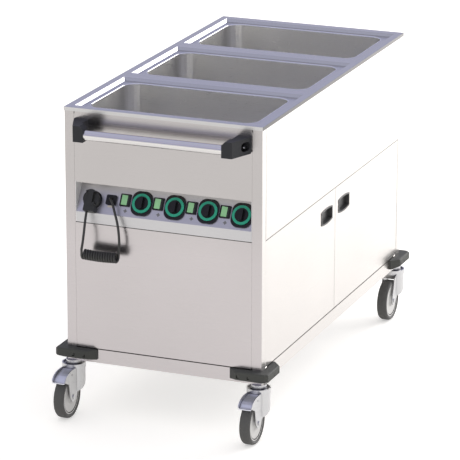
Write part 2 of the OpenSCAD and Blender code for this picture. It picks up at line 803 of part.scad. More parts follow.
// Moulded bracket of the push bar, drawn for the +X end: a head round the bar's end, a waist
// that slants outwards, and a foot on the panel with an open pocket for its screw
module bracket() {
    head_in = bar_half;
    head_out = bar_half + head_w;
    foot_out = half_w - foot_in;
    foot_inner = foot_out - foot_w;
    back = bar_out - bar_d / 2 - head_back;
    foot_t = bracket_foot_t;
    wall = bracket_wall;
    chamfer = bracket_chamfer;
    slant = (foot_out - head_out) / head_front;
    top = bracket_low + bracket_h;
    difference() {
        translate([0, -half_l, bracket_low]) linear_extrude(bracket_h) polygon([
            [head_in, -head_front], [head_out - wall / 2, -head_front],
            [head_out, wall / 2 - head_front], [foot_out, -foot_t], [foot_out, 0],
            [foot_inner, 0], [foot_inner, wall - back],
            [foot_inner - wall, -back], [head_in, -back]
        ]);
        translate([0, -half_l, bracket_low + wall]) linear_extrude(bracket_h - 2 * wall) polygon([
            [foot_inner + wall, -foot_t], [foot_out + over, -foot_t],
            [head_out + slant * (head_front - back) + over, -back],
            [foot_inner + wall, -back]
        ]);
        translate([head_in, 0, top]) rotate([0, 45, 0])
            cube([chamfer * sqrt(2), 4 * half_l, chamfer * sqrt(2)], center = true);
        translate([0, -half_l, bracket_low]) rotate([45, 0, 0])
            cube([2 * body_w, chamfer, chamfer], center = true);
        translate([0, -half_l - bar_out, bar_z])
            rod_x(bar_d, [head_in - over, head_in + seat_l]);
    }
}

module handle_brackets() place() color(black) for (x = [-1, 1]) scale([x, 1, 1]) bracket();

// Outline of a bumper's arm, seen from above, with the body's corner at the origin
module arm_outline(t) polygon([
    [-bumper_arm, 0], [-bumper_arm, bumper_blunt], [bumper_run - bumper_arm, t],
    [t - bumper_chamfer, t], [t, t - bumper_chamfer], [t, 0]
]);

module bumper_arm_solid() hull() {
    for (s = [[0, bumper_tuck], [bumper_tuck_h, 0], [bumper_h - bumper_bevel, 0],
              [bumper_h, bumper_bevel]])
        translate([0, 0, min(s[0], bumper_h - film)]) linear_extrude(film)
            arm_outline(bumper_t - s[1]);
}

// Hook-shaped slots of a bumper's arm
module bumper_slots() for (s = slot_shares) translate([-s * bumper_arm, bumper_t, bumper_h / 2]) {
    translate([-slot_w / 2, -slot_d, -slot_h / 2]) cube([slot_w / 2, slot_d + over, slot_h]);
    translate([-slot_w / 2, -slot_d, -slot_h / 2]) cube([slot_w * 1.5, slot_d + over, slot_w / 2]);
}

// Four bumpers that wrap the chassis's corners
module corner_bumpers() place() color(dark_grey)
    for (x = [-1, 1], y = [-1, 1]) scale([x, y, 1]) translate([half_w, half_l, bumper_z])
        difference() {
            union() {
                bumper_arm_solid();
                mirror([1, -1, 0]) bumper_arm_solid();
            }
            bumper_slots();
            mirror([1, -1, 0]) bumper_slots();
        }

// Places of the casters; each is drawn round its swivel axis, trailing towards -Y
module at_caster(x, y) place() translate([x * caster_x, y * caster_y, 0]) children();

// Fixed half of each caster: flange, bolt with its nut, and king pin with its head
module caster_mounts() color(zinc) for (x = [-1, 1], y = [-1, 1]) at_caster(x, y) {
    rod_z(mount_d, [chassis_z - mount_t, chassis_z]);
    rod_z(king_d, [bell_low - light_fit - king_head_t, chassis_z + bolt_rise]);
    rod_z(king_head_d, [bell_low - light_fit - king_head_t, bell_low - light_fit]);
    translate([0, 0, chassis_z + chassis_t + gusset_t]) cylinder(d = nut_d, h = nut_t, $fn = 6);
}

function on_arc(y, z, r, from, to, n) =
    [for (i = [0:n]) let (a = from + (to - from) * i / n) [y + r * cos(a), z + r * sin(a)]];

// Skirt of a fork: a tube under the swivel head, open at the front, with a sloping lower edge
module fork_skirt() difference() {
    reach = skirt_r + over;
    rod_z(2 * skirt_r, [wheel_r, bell_low + over]);
    rod_z(2 * (skirt_r - fork_t), [wheel_r - over, bell_low + over / 2]);
    span([-reach, reach], [-reach, -skirt_front], [wheel_r - over, bell_top]);
    span([-leg_x, leg_x], [-reach, -leg_x], [wheel_r - over, bell_low + over / 2]);
    translate([-reach, 0, 0]) rotate([90, 0, 90]) linear_extrude(2 * reach)
        polygon(concat([[reach, 0], [-reach, 0], [-reach, wheel_r]],
            [for (s = skirt_shares) [s[0] * skirt_r, wheel_r + s[1] * head_rise]]));
}

// Side view of a cheek; the braked one reaches forward over its pedal
function side_place(s) = [s[0] * wheel_r - trail, wheel_r + s[1] * head_rise];
function side_view(shares) = [for (s = shares) side_place(s)];
module cheek(braked) polygon(concat(
    [[-cheek_rear, bell_low + web_t], [-cheek_rear, wheel_r + cheek_foot_share * head_rise]],
    on_arc(-trail, wheel_r, boss_r, boss_from, boss_to, 8),
    side_view(braked ? braked_shares : plain_shares)));

module fork(braked) color(zinc) difference() {
    union() {
        rod_z(bell_d, [bell_low, bell_top]);
        fork_skirt();
        for (x = [-1, 1]) scale([x, 1, 1]) translate([leg_x, 0, 0]) rotate([90, 0, 90])
            linear_extrude(fork_t) cheek(braked);
        translate([0, -trail, wheel_r])
            rod_x(axle_d, [-leg_x - over, leg_x + over]);
        for (x = [-1, 1]) scale([x, 1, 1]) translate([leg_x, -trail, wheel_r])
            rod_x(rivet_d, [over, fork_t + rivet_t]);
        if (braked) translate([0, pedal_y, pedal_z]) rod_x(pedal_pin_d, [-leg_x - over, leg_x + over]);
        if (!braked) translate([-leg_x - over, 0, 0]) rotate([90, 0, 90])
            linear_extrude(2 * (leg_x + over)) polygon(side_view(web_shares));
    }
    rod_z(king_d + 2 * run_fit, [bell_low - over, bell_top + over]);
    difference() {
        rod_z(2 * race_out, [bell_top - race_t, bell_top + over]);
        rod_z(2 * race_in, [bell_low, bell_top + 2 * over]);
    }
    if (braked) translate([0, side_place(peep_share)[0], side_place(peep_share)[1]])
        rod_x(peep_d, [-leg_x - fork_t - over, leg_x + fork_t + over]);
}

module fork_front_left() at_caster(-1, -1) fork(true);
module fork_front_right() at_caster(1, -1) fork(true);
module fork_rear_left() at_caster(-1, 1) fork(false);
module fork_rear_right() at_caster(1, 1) fork(false);

// Profile turned round the axle; the first number is the radius, the second lies along the axle
module turned(points) translate([0, -trail, wheel_r]) rotate([0, 90, 0])
    rotate_extrude($fn = 72) polygon(points);

// Wheel: hub, dished cover, groove and rim
module wheel() color(disc_grey) {
    bore = axle_d / 2 + run_fit;
    groove = rim_r - 3 * groove_w;
    turned([
        [bore, -hub_half], [hub_r, -hub_half], [hub_r + 4 * groove_w, -disc_half],
        [groove, -disc_half], [groove, groove_w * 2 - disc_half],
        [groove + groove_w, groove_w * 2 - disc_half], [groove + groove_w, -rim_half],
        [rim_r, -rim_half], [rim_r, rim_half], [groove + groove_w, rim_half],
        [groove + groove_w, disc_half - groove_w * 2], [groove, disc_half - groove_w * 2],
        [groove, disc_half], [hub_r + 4 * groove_w, disc_half], [hub_r, hub_half],
        [bore, hub_half]
    ]);
}

module wheel_front_left() at_caster(-1, -1) wheel();
module wheel_front_right() at_caster(1, -1) wheel();
module wheel_rear_left() at_caster(-1, 1) wheel();
module wheel_rear_right() at_caster(1, 1) wheel();

// Tyre with rounded shoulders; the shares give its half section from the rim to the tread
module tyre() color(tyre_grey) {
    shares = [[0, 0.82], [0.45, 1], [0.72, 0.94], [0.9, 0.78], [1, 0.5]];
    half = [for (s = shares) [rim_r + tyre_t * s[0], s[1] * tyre_w / 2]];
    turned(concat(half, [for (i = [len(half) - 1:-1:0]) [half[i][0], -half[i][1]]]));
}

module tyre_front_left() at_caster(-1, -1) tyre();
module tyre_front_right() at_caster(1, -1) tyre();
module tyre_rear_left() at_caster(-1, 1) tyre();
module tyre_rear_right() at_caster(1, 1) tyre();

// Brake pedal: strip with its lip and arm, block over the tyre, and a hub on the fork's pin
module across(half) translate([-half, 0, 0]) rotate([90, 0, 90]) linear_extrude(2 * half)
    children();

module brake_pedal(x) at_caster(x, -1) color(zinc) difference() {
    union() {
        across(strip_half) polygon(concat([[pedal_y, pedal_z + pedal_hub_d / 2]],
            side_view(pedal_shares), [[pedal_y, pedal_z - pedal_hub_d / 2]]));
        across(strip_half - lining_in) polygon(concat(
            on_arc(-trail, wheel_r, wheel_r + lining_gap, lining_from, lining_to, 6),
            on_arc(-trail, wheel_r, wheel_r + lining_gap + lining_t, lining_to, lining_from, 6)));
        translate([0, pedal_y, pedal_z]) rod_x(pedal_hub_d, [-strip_half, strip_half]);
    }
    translate([0, pedal_y, pedal_z])
        rod_x(pedal_pin_d + 2 * run_fit, [-strip_half - over, strip_half + over]);
}

module brake_pedal_left() brake_pedal(-1);
module brake_pedal_right() brake_pedal(1);

// Black plates behind the knobs, each with its coloured ring
module plate_outline() polygon([for (q = [0:3])
    each on_arc([1, -1, -1, 1][q] * (bezel_w / 2 - plate_r), [1, 1, -1, -1][q] * (bezel_h / 2 - plate_r),
        plate_r, 90 * q, 90 * q + 90, 8)]);
module knob_plates() place() for (x = knob_xs) on_slope(x, knob_v) {
    color(black) linear_extrude(plate_t) difference() {
        plate_outline();
        circle(d = shaft_d + 2 * pass_gap);
    }
    color(green) translate([0, 0, plate_t]) linear_extrude(ring_h) difference() {
        circle(d = ring_d);
        circle(d = ring_d - 2 * ring_w);
    }
}

// Knob: dial with a raised grip, and the thermostat shaft that turns with it
module knob(i) place() color(black) on_slope(knob_xs[i], knob_v) {
    base = plate_t + pass_gap;
    rod_z(knob_d, [base, base + dial_h]);
    intersection() {
        translate([-grip_w / 2, -knob_d / 2, base]) cube([grip_w, knob_d, dial_h + grip_h]);
        rod_z(knob_d - grip_w / 2, [base, base + dial_h + grip_h]);
    }
    rod_z(shaft_d, [plate_t - shaft_l, base + over]);
}

module knob_1() knob(0);
module knob_2() knob(1);
module knob_3() knob(2);
module knob_4() knob(3);

// Switches: a frame through the panel, and a rocker on two stub pins

module switch_frames() place() color(black)
    for (x = knob_xs) on_slope(x - switch_gap, knob_v + switch_rise) difference() {
        union() {
            linear_extrude(frame_t) round_rect(switch_w, switch_h, frame_wall);
            translate([0, 0, -frame_back]) linear_extrude(frame_back)
                square([switch_body_w, switch_body_h], center = true);
        }
        translate([0, 0, frame_wall - frame_back]) linear_extrude(frame_back + frame_t)
            square([rocker_room, rocker_h + 2 * pass_gap], center = true);
        translate([0, 0, rocker_axis]) rod_y(stub_d + 2 * run_fit,
            [-rocker_h / 2 - stub_l - pass_gap, rocker_h / 2 + stub_l + pass_gap]);
    }

module rocker(i) place() color(pale_green)
    on_slope(knob_xs[i] - switch_gap, knob_v + switch_rise)
        translate([0, 0, rocker_axis]) rotate([0, rocker_tilt, 0]) translate([0, 0, -rocker_axis]) {
            rotate([90, 0, 0]) translate([0, 0, -rocker_h / 2]) linear_extrude(rocker_h)
                polygon([[-rocker_w / 2, rocker_low], [rocker_w / 2, rocker_low],
                    [rocker_w / 2, rocker_top], [ridge_share * rocker_w, rocker_top - rocker_dip],
                    [-rocker_w / 2, rocker_top]]);
            translate([0, 0, rocker_axis])
                rod_y(stub_d, [-rocker_h / 2 - stub_l, rocker_h / 2 + stub_l]);
        }

module rocker_1() rocker(0);
module rocker_2() rocker(1);
module rocker_3() rocker(2);
module rocker_4() rocker(3);

// Parking socket for the plug: a flange on the slope and a blind body behind it
module parking_socket() place() color(black) on_slope(plug_x, plug_v) difference() {
    union() {
        rod_z(socket_d, [0, socket_t]);
        rod_z(socket_back_d, [-socket_back, over]);
    }
    for (x = [-1, 1]) translate([x * plug_pin_gap / 2, 0, 0])
        rod_z(plug_pin_d + light_fit, [socket_t - plug_pin_l - over, socket_t + over]);
}

// Angled plug: round head with a finger grip, a neck down the slope and two pins
module plug() place() color(black) on_slope(plug_x, plug_v) {
    top = socket_t + plug_h;
    difference() {
        rod_z(plug_d, [socket_t, top]);
        for (x = [-1, 1]) translate([x * (plug_d / 4 + neck_w / 8), 0, top])
            cube([plug_d / 2 - neck_w / 4, plug_d * 0.7, plug_h * 0.6], center = true);
    }
    translate([-neck_w / 2, neck_low - plug_v, socket_t])
        cube([neck_w, plug_v - neck_low - plug_d / 4, 2 * (neck_off - socket_t)]);
    for (x = [-1, 1]) translate([x * plug_pin_gap / 2, 0, 0])
        rod_z(plug_pin_d, [socket_t - plug_pin_l, socket_t + over]);
}

// Gland: a square body on the slope, a round relief and a threaded shank through the panel
module cable_gland() place() color(black) on_slope(gland_x, gland_v) {
    linear_extrude(gland_t) round_rect(gland_w, gland_h, sheet_t * 3);
    rod_z(relief_d, [-gland_t, gland_t]);
    translate([0, 0, gland_t]) cylinder(d1 = relief_d + 2 * sheet_t, d2 = cord_d + sheet_t, h = relief_l);
}

// Tube along points: one ring of corners at each point, faces between the rings, two end caps
function unit(v) = v / norm(v);
function heading(p, i) = unit(p[min(i + 1, len(p) - 1)] - p[max(i - 1, 0)]);
function ring(p, i, d, n) =
    let (t = heading(p, i), u = unit(cross(t, [1, 0, 0])), w = cross(t, u))
    [for (k = [0:n - 1]) p[i] + d / 2 * (cos(360 * k / n) * u + sin(360 * k / n) * w)];

module tube(p, d, n) {
    last = (len(p) - 1) * n;
    polyhedron(
        points = [for (i = [0:len(p) - 1]) each ring(p, i, d, n)],
        faces = concat(
            [for (i = [0:len(p) - 2], k = [0:n - 1]) [i * n + k, (i + 1) * n + k,
                i * n + (k + 1) % n]],
            [for (i = [0:len(p) - 2], k = [0:n - 1]) [(i + 1) * n + k,
                (i + 1) * n + (k + 1) % n, i * n + (k + 1) % n]],
            [for (k = [1:n - 2]) [0, k, k + 1]],
            [for (k = [1:n - 2]) [last, last + k + 1, last + k]]),
        convexity = 10);
}

// Places before the front panel, and on the slope
function hung(p) = [plug_x + p[0], -half_l - p[1], notch_z0 + p[2]];
function slope_place(x, v, n) =
    hung([x - plug_x, n * cos(slope) - v * sin(slope), n * sin(slope) + v * cos(slope)]);

// Points of the curls: down the front of the first curl, up the back of the last
function curl_point(s) =
    let (a = 360 * curl_turns * s)
    hung(curl_from + (curl_to - curl_from) * s)
    + [0, -curl_d / 2 * cos(a), -curl_d / 2 * sin(a) - curl_sag * sin(180 * s)];
curl_count = curl_turns * curl_steps;
curl_middle = [for (i = [0:curl_count]) curl_point(i / curl_count)];
curl_points = concat(
    [curl_middle[0] + [0, 0, curl_end], curl_middle[0] + [0, 0, curl_end - cord_d]],
    [for (i = [1:curl_count - 1]) curl_middle[i]],
    [curl_middle[curl_count] + [0, 0, curl_end - cord_d],
     curl_middle[curl_count] + [0, 0, curl_end]]);

// Free stretches, each straight for one diameter where it meets the plug, a curl or the gland
cord_left_points = concat(
    [for (i = [0, 1]) slope_place(plug_x - outlet_in, neck_low - i * cord_d, neck_off)],
    [for (p = left_route) hung(p)],
    [curl_points[0] + [0, 0, cord_d], curl_points[0]]);
cord_right_points = concat(
    [curl_points[len(curl_points) - 1], curl_points[len(curl_points) - 1] + [0, 0, cord_d]],
    [for (p = right_route) hung(p)],
    [for (i = [1, 0]) slope_place(gland_x, gland_v, gland_t + relief_l + i * cord_d)]);

// Least gap between two curls, and the length of the whole lead, measured on the points
curl_gap = min([for (i = [0:curl_count], j = [i + curl_steps / 2:curl_count])
    norm(curl_middle[i] - curl_middle[j])]) - cord_d;
function length_along(p) = [for (i = [1:len(p) - 1]) 1] * [for (i = [1:len(p) - 1]) norm(p[i] - p[i - 1])];
echo(curl_gap = curl_gap);
echo(lead_length = length_along(cord_left_points) + length_along(curl_points)
    + length_along(cord_right_points));

module cord_left() place() color(black) tube(cord_left_points, cord_d, tube_sides);
module cord_right() place() color(black) tube(cord_right_points, cord_d, tube_sides);
module cord_coil() place() color(black) tube(curl_points, cord_d, curl_sides);

chassis_frame();
base_panel();
corner_posts();
left_panel();
right_upper_panel();
rear_panel();
front_upper_panel();
control_panel();
front_lower_panel();
top_frame();
well_front();
well_middle();
well_rear();
heaters();
thermostats();
middle_deck();
cupboard_liner();
shelf();
door_front();
door_rear();
door_front_seal();
door_rear_seal();
door_front_pull();
door_rear_pull();
door_hinges();
door_catches();
handle_bar();
handle_brackets();
corner_bumpers();
caster_mounts();
fork_front_left();
fork_front_right();
fork_rear_left();
fork_rear_right();
wheel_front_left();
wheel_front_right();
wheel_rear_left();
wheel_rear_right();
tyre_front_left();
tyre_front_right();
tyre_rear_left();
tyre_rear_right();
brake_pedal_left();
brake_pedal_right();
knob_1();
knob_2();
knob_3();
knob_4();
knob_plates();
rocker_1();
rocker_2();
rocker_3();
rocker_4();
switch_frames();
plug();
parking_socket();
cable_gland();
cord_left();
cord_coil();
cord_right();
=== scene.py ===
import math
import bmesh
import bpy
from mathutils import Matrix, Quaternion, Vector


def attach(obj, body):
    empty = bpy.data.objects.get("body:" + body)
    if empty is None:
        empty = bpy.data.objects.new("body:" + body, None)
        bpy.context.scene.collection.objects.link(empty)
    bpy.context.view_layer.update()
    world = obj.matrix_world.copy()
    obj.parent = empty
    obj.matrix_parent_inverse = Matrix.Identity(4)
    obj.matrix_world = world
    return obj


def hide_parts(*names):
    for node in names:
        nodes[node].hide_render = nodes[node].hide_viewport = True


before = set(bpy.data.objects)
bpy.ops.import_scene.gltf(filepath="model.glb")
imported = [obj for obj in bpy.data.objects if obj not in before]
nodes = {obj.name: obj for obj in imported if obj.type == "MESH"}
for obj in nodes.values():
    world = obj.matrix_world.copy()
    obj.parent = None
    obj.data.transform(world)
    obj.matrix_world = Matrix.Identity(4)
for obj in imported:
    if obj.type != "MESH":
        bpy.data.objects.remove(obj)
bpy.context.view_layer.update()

scene = bpy.context.scene
scene.view_settings.view_transform = "Standard"

# Sizes repeated from the part's source, in metres and in the row frame
SHIFT = 0.036                                   # the body's middle along Y
HALF_W, HALF_L = 0.294, 0.592                   # half the body
FRONT = SHIFT - HALF_L                          # its front face
NOTCH_Z = 0.6015                                # lower edge of the control slope
SLOPE = math.atan2(0.051, 0.0855)               # its lean, from its run and its rise
SIN, COS = math.sin(SLOPE), math.cos(SLOPE)
FIRST_KNOB, PITCH = -0.0710038, 0.0993964       # the row of knobs
SWITCH_SHARE = 0.508                            # of a pitch, from a knob to the switch on its left
SWITCHES = [FIRST_KNOB + PITCH * i - SWITCH_SHARE * PITCH for i in range(4)]
LEDGE = 0.892                                   # the ledge round each well
WELLS = {"front": SHIFT - 0.396, "middle": SHIFT, "rear": SHIFT + 0.396}
CASTERS = {"front_left": (-1, -1), "front_right": (1, -1),
           "rear_left": (-1, 1), "rear_right": (1, 1)}
CASTER_X, CASTER_Y, TRAIL, WHEEL_R, BELL_TOP = 0.2815, 0.5795, 0.050, 0.0625, 0.1502
UP = Vector((0, 0, 1))


def on_slope(x, v, n=0.0):
    """A place on the control slope: across, up the slope and out of it."""
    return Vector((x, FRONT + v * SIN - n * COS, NOTCH_Z + v * COS + n * SIN))


# ---------------------------------------------------------------- camera
# Its angles, distance and lens come from the photo's edges, solved with the sizes
AZIMUTH, ELEVATION, ROLL = math.radians(21.69), math.radians(17.13), math.radians(0.11)
CAMERA_PLACE, LENS_MM = (3.1530, -8.0169 + SHIFT, 3.0622), 238.94

back = Vector((math.sin(AZIMUTH) * math.cos(ELEVATION), -math.cos(AZIMUTH) * math.cos(ELEVATION),
               math.sin(ELEVATION)))
cam = bpy.data.cameras.new("camera")
cam.lens, cam.sensor_width, cam.clip_end = LENS_MM, 36.0, 200.0
camera = bpy.data.objects.new("camera", cam)
scene.collection.objects.link(camera)
camera.location = CAMERA_PLACE
camera.rotation_mode = "QUATERNION"
camera.rotation_quaternion = Quaternion(back, ROLL) @ (-back).to_track_quat("-Z", "Y")
scene.camera = camera

# ---------------------------------------------------------------- materials
NOISE_LOW, NOISE_HIGH = 0.3, 0.7    # the band that most values of a noise lie in
BROAD_SCALE, BROAD_DETAIL = 3.0, 2.0    # the slow change of tone over a whole sheet
MIN_ROUGH = 0.02
MASK_EDGE = 0.00005                 # half the width of a mask's soft edge


def links(tree, *pairs):
    """Links each pair of an output and an input."""
    for a, b in pairs:
        tree.links.new(a, b)


def shader(tree, kind, values=(), **settings):
    """A new shader node with its settings, and values for its sockets by name or number."""
    n = tree.nodes.new(kind)
    for k, v in settings.items():
        setattr(n, k, v)
    for k, v in dict(values).items():
        n.inputs[k].default_value = v
    return n


def remap(tree, low, high, to_low=0.0, to_high=1.0):
    """A node that carries low to high over to another range, and clamps."""
    return shader(tree, "ShaderNodeMapRange", {"From Min": low, "From Max": high,
                                               "To Min": to_low, "To Max": to_high})


def material(name, colour, rough, metal=0.0, grain=(40, 40, 40), bump=0.1, tint=0.06,
             rough_var=0.05, detail=3.0, distance=0.0002, **sockets):
    """Principled surface. One noise, stretched by grain, varies its colour, roughness and
    relief, and a broad one its colour. Grain is per metre, one number or one for each axis."""
    m = bpy.data.materials.new(name)
    m.use_nodes = True
    t = m.node_tree
    s = t.nodes["Principled BSDF"]
    co = shader(t, "ShaderNodeTexCoord")
    stretch = shader(t, "ShaderNodeMapping",
                     {"Scale": grain if isinstance(grain, tuple) else (grain,) * 3})
    fine = shader(t, "ShaderNodeTexNoise", {"Scale": 1.0, "Detail": detail})
    broad = shader(t, "ShaderNodeTexNoise", {"Scale": BROAD_SCALE, "Detail": BROAD_DETAIL})
    total = shader(t, "ShaderNodeMath", operation="ADD")
    mean = shader(t, "ShaderNodeMath", {1: 0.5}, operation="MULTIPLY")
    shade = remap(t, NOISE_LOW, NOISE_HIGH, 1.0 - tint, 1.0 + tint)
    tone = shader(t, "ShaderNodeVectorMath", {0: colour}, operation="SCALE")
    gloss = remap(t, NOISE_LOW, NOISE_HIGH, max(MIN_ROUGH, rough - rough_var), rough + rough_var)
    relief = shader(t, "ShaderNodeBump", {"Strength": bump, "Distance": distance})
    links(t, (co.outputs["Object"], stretch.inputs["Vector"]),
          (stretch.outputs[0], fine.inputs["Vector"]),
          (co.outputs["Object"], broad.inputs["Vector"]),
          (fine.outputs["Fac"], total.inputs[0]), (broad.outputs["Fac"], total.inputs[1]),
          (total.outputs[0], mean.inputs[0]), (mean.outputs[0], shade.inputs["Value"]),
          (shade.outputs[0], tone.inputs["Scale"]), (tone.outputs[0], s.inputs["Base Color"]),
          (fine.outputs["Fac"], gloss.inputs["Value"]), (gloss.outputs[0], s.inputs["Roughness"]),
          (fine.outputs["Fac"], relief.inputs["Height"]), (relief.outputs[0], s.inputs["Normal"]))
    s.inputs["Metallic"].default_value = metal
    for k, v in sockets.items():
        s.inputs[k.replace("_", " ")].default_value = v
    return m


def two_tone(m, other, mask, blend="MIX"):
    """Blends another colour into a material where the mask, built from object space, is 1."""
    t = m.node_tree
    s = t.nodes["Principled BSDF"]
    old = s.inputs["Base Color"].links[0].from_socket
    mix = shader(t, "ShaderNodeMix", data_type="RGBA", blend_type=blend)
    mix.inputs["B"].default_value = (*other, 1)
    links(t, (old, mix.inputs["A"]), (mask(t), mix.inputs["Factor"]),
          (mix.outputs["Result"], s.inputs["Base Color"]))
    return m


def less_metal(m, mask, metal):
    """Lowers the metal share of a material where the mask is 1."""
    t = m.node_tree
    share = remap(t, 0.0, 1.0, 1.0, metal)
    links(t, (mask(t), share.inputs["Value"]),
          (share.outputs[0], t.nodes["Principled BSDF"].inputs["Metallic"]))


def plane_mask(point, normal, soft=MASK_EDGE):
    """1 on the side of a plane that its normal points to, with a soft edge."""
    def build(t):
        co = shader(t, "ShaderNodeTexCoord")
        dot = shader(t, "ShaderNodeVectorMath", operation="DOT_PRODUCT")
        dot.inputs[1].default_value = normal
        level = Vector(point).dot(Vector(normal))
        side = remap(t, level - soft, level + soft)
        links(t, (co.outputs["Object"], dot.inputs[0]),
              (dot.outputs["Value"], side.inputs["Value"]))
        return side.outputs[0]
    return build


def round_mask(centre, axis, inner, outer):
    """1 between two radii round an axis, X, Y or Z, through the centre."""
    def build(t):
        co = shader(t, "ShaderNodeTexCoord")
        across = Vector((1, 1, 1)) - Vector(axis)
        flat = shader(t, "ShaderNodeVectorMath", operation="MULTIPLY_ADD")
        flat.inputs[1].default_value = across
        flat.inputs[2].default_value = [-c * k for c, k in zip(centre, across)]
        size = shader(t, "ShaderNodeVectorMath", operation="LENGTH")
        near = shader(t, "ShaderNodeMath", operation="COMPARE")
        near.inputs[1].default_value = (inner + outer) / 2
        near.inputs[2].default_value = (outer - inner) / 2
        links(t, (co.outputs["Object"], flat.inputs[0]), (flat.outputs[0], size.inputs[0]),
              (size.outputs["Value"], near.inputs[0]))
        return near.outputs[0]
    return build


def both(first, second):
    """1 where two masks are 1."""
    def build(t):
        m = shader(t, "ShaderNodeMath", operation="MULTIPLY")
        links(t, (first(t), m.inputs[0]), (second(t), m.inputs[1]))
        return m.outputs[0]
    return build


# Steels. The grain runs level on the sides and lengthwise on the top. The front face has painted
# shade, less so below the slope, where painted light fades in. The top's lip has the darkest
# painted shade, and the slope's left cheek is painted near white as painted light.
FRONT_PAINTED_SHADE, LOW_FRONT_PAINTED_LIGHT, LIP_PAINTED_SHADE = (0.72, 0.715, 0.73), (1.11, 1.09, 1.11), (0.13, 0.13, 0.135)
FACE_DEPTH = 0.002                  # how far back the front's painted shade reaches
FADE = 0.09                         # half the height over which the lower part's painted light fades in
LIP_OUT = 0.0016                    # from the body's side to where the lip's painted shade starts
CHEEK_X, CHEEK_PAINTED_LIGHT = -0.2624, (0.94, 0.935, 0.93)

side_steel = material("satin_steel_side", (0.69, 0.665, 0.645), 0.24, 1.0, grain=(5, 5, 1400),
                      bump=0.12, tint=0.04, rough_var=0.04, detail=4)
# Painted shade on the front face, and painted light on its lower part below the slope
painted_front_face = plane_mask((0, FRONT + FACE_DEPTH, 0), (0, -1, 0))
two_tone(side_steel, FRONT_PAINTED_SHADE, painted_front_face, "MULTIPLY")
two_tone(side_steel, LOW_FRONT_PAINTED_LIGHT,
         both(painted_front_face, plane_mask((0, 0, NOTCH_Z), (0, 0, -1), FADE)), "MULTIPLY")
top_steel = material("satin_steel_top", (0.55, 0.545, 0.545), 0.22, 1.0, grain=(1400, 5, 5),
                     bump=0.12, tint=0.04, rough_var=0.04, detail=4)
# Painted shade on the top's lip, beyond the body's side
two_tone(top_steel, LIP_PAINTED_SHADE, plane_mask((HALF_W + LIP_OUT, 0, 0), (1, 0, 0)), "MULTIPLY")
slope_steel = material("satin_steel_slope", (0.57, 0.565, 0.57), 0.38, 1.0, grain=(5, 900, 900),
                       bump=0.1, tint=0.04, rough_var=0.04, detail=4)
# Painted light: the slope's left cheek is painted near white and made less metal
painted_light_cheek = plane_mask((CHEEK_X, 0, 0), (-1, 0, 0))
two_tone(slope_steel, CHEEK_PAINTED_LIGHT, painted_light_cheek)
less_metal(slope_steel, painted_light_cheek, 0.0)
well_steel = material("drawn_steel", (0.805, 0.797, 0.762), 0.32, 1.0, grain=(60, 60, 900),
                      bump=0.08, tint=0.05, rough_var=0.05)
inner_steel = material("inner_steel", (0.55, 0.545, 0.54), 0.34, 1.0, grain=(5, 5, 900),
                       bump=0.08, tint=0.05)
rolled_steel = material("polished_edge", (0.78, 0.78, 0.79), 0.12, 1.0, grain=200, bump=0.03,
                        tint=0.03, rough_var=0.03)


def zinc_plate(name):
    """Plated sheet, once for each fork, because each has the painted shade of its race groove in
    another place.
    """
    return material(name, (0.58, 0.58, 0.585), 0.34, 1.0, grain=260, bump=0.06, tint=0.06,
                    rough_var=0.08)


zinc = zinc_plate("zinc_plate")
pedal_zinc = material("zinc_pedal", (0.72, 0.73, 0.80), 0.38, 0.75, grain=260, bump=0.05,
                      tint=0.06, rough_var=0.06)
bar_metal = material("drawn_tube", (0.70, 0.685, 0.675), 0.17, 1.0, grain=(3, 1200, 1200),
                     bump=0.06, tint=0.03, rough_var=0.03)
screw_metal = material("screw_zinc", (0.70, 0.70, 0.72), 0.28, 1.0, grain=500, bump=0.05,
                       tint=0.05)

# Plastics and rubbers
bracket_black = material("bracket_plastic", (0.026, 0.027, 0.031), 0.5, grain=900, bump=0.25,
                         tint=0.25, Specular_IOR_Level=0.3)
bumper_grey = material("bumper_plastic", (0.072, 0.074, 0.068), 0.65, grain=700, bump=0.5,
                       tint=0.3, distance=0.0004, Specular_IOR_Level=0.3)
black = material("black_plastic", (0.007, 0.007, 0.008), 0.34, grain=900, bump=0.15, tint=0.25,
                 Specular_IOR_Level=0.35)
plug_black = material("plug_rubber", (0.022, 0.023, 0.020), 0.5, grain=1200, bump=0.3, tint=0.3)
cord_black = material("lead_rubber", (0.038, 0.038, 0.036), 0.5, grain=600, bump=0.2, tint=0.3)
pull_grey = material("pull_plastic", (0.075, 0.075, 0.075), 0.45, grain=900, bump=0.2, tint=0.2)
tyre_grey = material("tyre_rubber", (0.098, 0.098, 0.095), 0.68, grain=500, bump=0.4, tint=0.18,
                     distance=0.0004)
seal_black = material("seal_rubber", (0.02, 0.02, 0.02), 0.7, grain=300, bump=0.2, tint=0.2)
cream = material("thermostat_body", (0.66, 0.62, 0.54), 0.5, grain=300, bump=0.1, tint=0.1)
tab_cream = material("pale_tab", (0.72, 0.66, 0.58), 0.5, grain=300, bump=0.05, tint=0.06)
heater_skin = material("heater_skin", (0.45, 0.40, 0.37), 0.4, 0.8, grain=90, bump=0.2,
                       tint=0.15)
mark_grey = material("mark_ink", (0.20, 0.20, 0.21), 0.6, grain=900, bump=0.05, tint=0.1)

# Black plates whose rings, which stand above this level of the slope, are green
RING_LEVEL, RING_GREEN = 0.00405, (0.03, 0.42, 0.27)
plate_mix = two_tone(
    material("knob_plate", (0.006, 0.006, 0.007), 0.3, grain=900, bump=0.12, tint=0.25,
             Specular_IOR_Level=0.35),
    RING_GREEN, plane_mask(on_slope(0, 0, RING_LEVEL), (0, -COS, SIN)))

